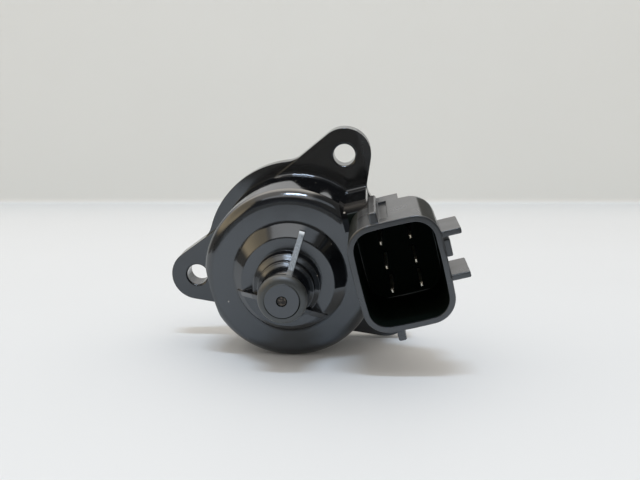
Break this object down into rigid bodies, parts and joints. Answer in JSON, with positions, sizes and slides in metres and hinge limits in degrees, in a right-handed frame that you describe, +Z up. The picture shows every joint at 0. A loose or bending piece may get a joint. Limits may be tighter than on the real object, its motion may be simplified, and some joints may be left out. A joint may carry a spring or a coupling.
{
  "type": "idle air control valve",
  "caption": "Idle air control valve: round moulded motor housing with a stepped boss, eared mounting flange and keyed plug socket, and a sprung pintle driven by a screw.",
  "frame": {"origin": "on the motor axis, in the plane of the flange's mounting face", "axes": "+Y along the motor axis from the cap to the pintle, +Z up as the valve lies on a table, rolled about its motor axis, +X towards the connector side"},
  "size_m": [0.0694, 0.0668, 0.0534],
  "materials": {
    "housing_plastic": "glass-filled black plastic, satin moulded",
    "terminal_tin": "tin-plated strip",
    "yoke_steel": "zinc-plated pressed steel",
    "bobbin_plastic": "natural moulded plastic",
    "copper_wire": "enamelled copper wire, wound",
    "ferrite": "sintered ferrite",
    "bearing_bronze": "turned bronze",
    "plain_steel": "bright steel",
    "bearing_steel": "polished bearing steel",
    "cast_aluminium": "die-cast and turned",
    "seal_rubber": "moulded rubber",
    "guide_plastic": "moulded plastic",
    "pintle_plastic": "moulded plastic"
  },
  "bodies": {
    "housing_body": {"housing": "housing_plastic", "terminal_1": "terminal_tin", "terminal_2": "terminal_tin", "terminal_3": "terminal_tin", "terminal_4": "terminal_tin", "terminal_5": "terminal_tin", "terminal_6": "terminal_tin", "front_yoke_cup": "yoke_steel", "front_yoke_plate": "yoke_steel", "front_bobbin": "bobbin_plastic", "front_winding": "copper_wire", "rear_yoke_cup": "yoke_steel", "rear_yoke_plate": "yoke_steel", "rear_bobbin": "bobbin_plastic", "rear_winding": "copper_wire", "rear_bush": "bearing_bronze", "thrust_washer": "plain_steel", "bearing_outer_race": "bearing_steel", "nose_plate": "cast_aluminium", "seal_ring": "seal_rubber", "guide_bush": "guide_plastic", "pintle_spring": "plain_steel"},
    "rotor": {"rotor_magnet": "ferrite", "rotor_hub": "bearing_bronze", "bearing_inner_race": "bearing_steel"},
    "ball_set": {"bearing_ball_1": "bearing_steel", "bearing_ball_2": "bearing_steel", "bearing_ball_3": "bearing_steel", "bearing_ball_4": "bearing_steel", "bearing_ball_5": "bearing_steel", "bearing_ball_6": "bearing_steel", "bearing_ball_7": "bearing_steel", "bearing_cage": "bearing_steel"},
    "pintle": {"lead_screw": "plain_steel", "spring_seat": "plain_steel", "valve_cone": "pintle_plastic"}
  },
  "joints": [
    {"name": "rotor_turn", "type": "hinge", "parent": "housing_body", "child": "rotor", "pos_m": [0, 0, 0], "axis": [0, 1, 0], "range_deg": [0, 2880]},
    {"name": "ball_set_orbit", "type": "hinge", "parent": "housing_body", "child": "ball_set", "pos_m": [0, 0, 0], "axis": [0, 1, 0], "range_deg": [0, 1213.63]},
    {"name": "pintle_slide", "type": "slide", "parent": "housing_body", "child": "pintle", "axis": [0, 1, 0], "range_m": [0, 0.008], "deforming": ["pintle_spring"]}
  ],
  "couplings": [
    {"joint": "ball_set_orbit", "follows": "rotor_turn", "ratio": 0.42105},
    {"joint": "pintle_slide", "follows": "rotor_turn", "m_per_rad": 0.00015915}
  ]
}
